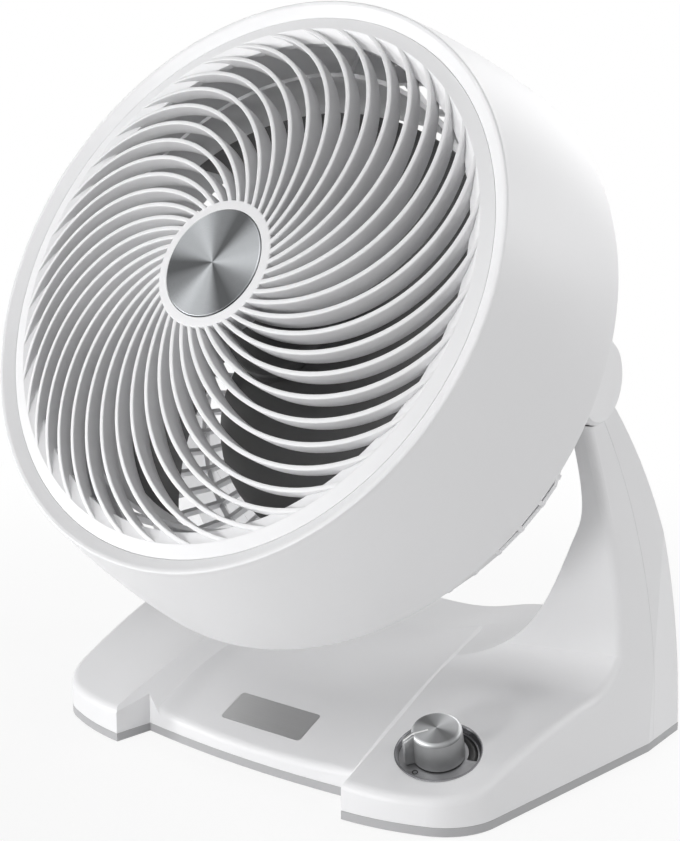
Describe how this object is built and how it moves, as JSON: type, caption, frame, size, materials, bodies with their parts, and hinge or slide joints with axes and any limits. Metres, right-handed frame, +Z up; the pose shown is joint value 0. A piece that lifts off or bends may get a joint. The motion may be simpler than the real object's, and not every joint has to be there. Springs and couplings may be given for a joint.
{
  "type": "air circulator fan",
  "caption": "Table air circulator with a deep flared drum, a domed spiral grille and a tilting head held between the two arms of a moulded yoke base with a speed knob.",
  "frame": {"origin": "on the table under the middle of the base, where the plane of symmetry meets the table, at the centre of the middle foot pad", "axes": "+Z up, the face looks along -Y (front), +X to the viewer's right"},
  "size_m": [0.3329, 0.2831, 0.3897],
  "materials": {
    "white_satin": "satin",
    "grey_plastic": "satin",
    "pad_rubber": "matte",
    "screw_steel": "satin",
    "badge_metal": "brushed",
    "black_plastic": "satin",
    "bracket_steel": "satin",
    "dial_metal": "brushed",
    "board_green": "satin",
    "spun_metal": "brushed",
    "washer_plastic": "satin",
    "core_steel": "satin",
    "winding_copper": "satin",
    "knob_metal": "brushed",
    "pointer_white": "gloss"
  },
  "bodies": {
    "base": {"base_front_shell": "white_satin", "base_rear_cover": "white_satin", "base_plate": "grey_plastic", "foot_pads": "pad_rubber", "base_screws": "screw_steel", "badge_plate": "badge_metal", "dc_inlet": "black_plastic", "tilt_bracket_right": "bracket_steel", "tilt_bracket_left": "bracket_steel", "dial_plate": "dial_metal", "speed_control": "black_plastic", "control_board": "board_green"},
    "head": {"drum": "white_satin", "front_grille": "white_satin", "hub_badge": "spun_metal", "inner_duct": "white_satin", "rear_guard": "white_satin", "pivot_boss_right": "white_satin", "pivot_boss_left": "white_satin", "pivot_cap_right": "white_satin", "pivot_cap_left": "white_satin", "pivot_bolts": "screw_steel", "friction_washers": "washer_plastic", "motor_mount": "grey_plastic", "stator_core": "core_steel", "stator_windings": "winding_copper", "shaft_bearings": "bracket_steel"},
    "fan": {"motor_shaft": "bracket_steel", "rotor_can": "core_steel", "impeller": "white_satin", "impeller_nut": "black_plastic"},
    "knob": {"knob_cap": "knob_metal", "knob_pointer": "pointer_white", "knob_shaft": "bracket_steel"}
  },
  "joints": [
    {"name": "head_tilt", "type": "hinge", "parent": "base", "child": "head", "pos_m": [0, -0.0205, 0.2105], "axis": [-1, 0, 0], "range_deg": [-28, 61]},
    {"name": "fan_spin", "type": "hinge", "parent": "head", "child": "fan", "pos_m": [0, -0.10848, 0.25887], "axis": [0, -0.8763, 0.4818], "continuous": true},
    {"name": "knob_turn", "type": "hinge", "parent": "base", "child": "knob", "pos_m": [0.106, -0.079, 0.0302], "axis": [-0.0921, 0.2992, -0.9497], "range_deg": [-20, 250]}
  ]
}
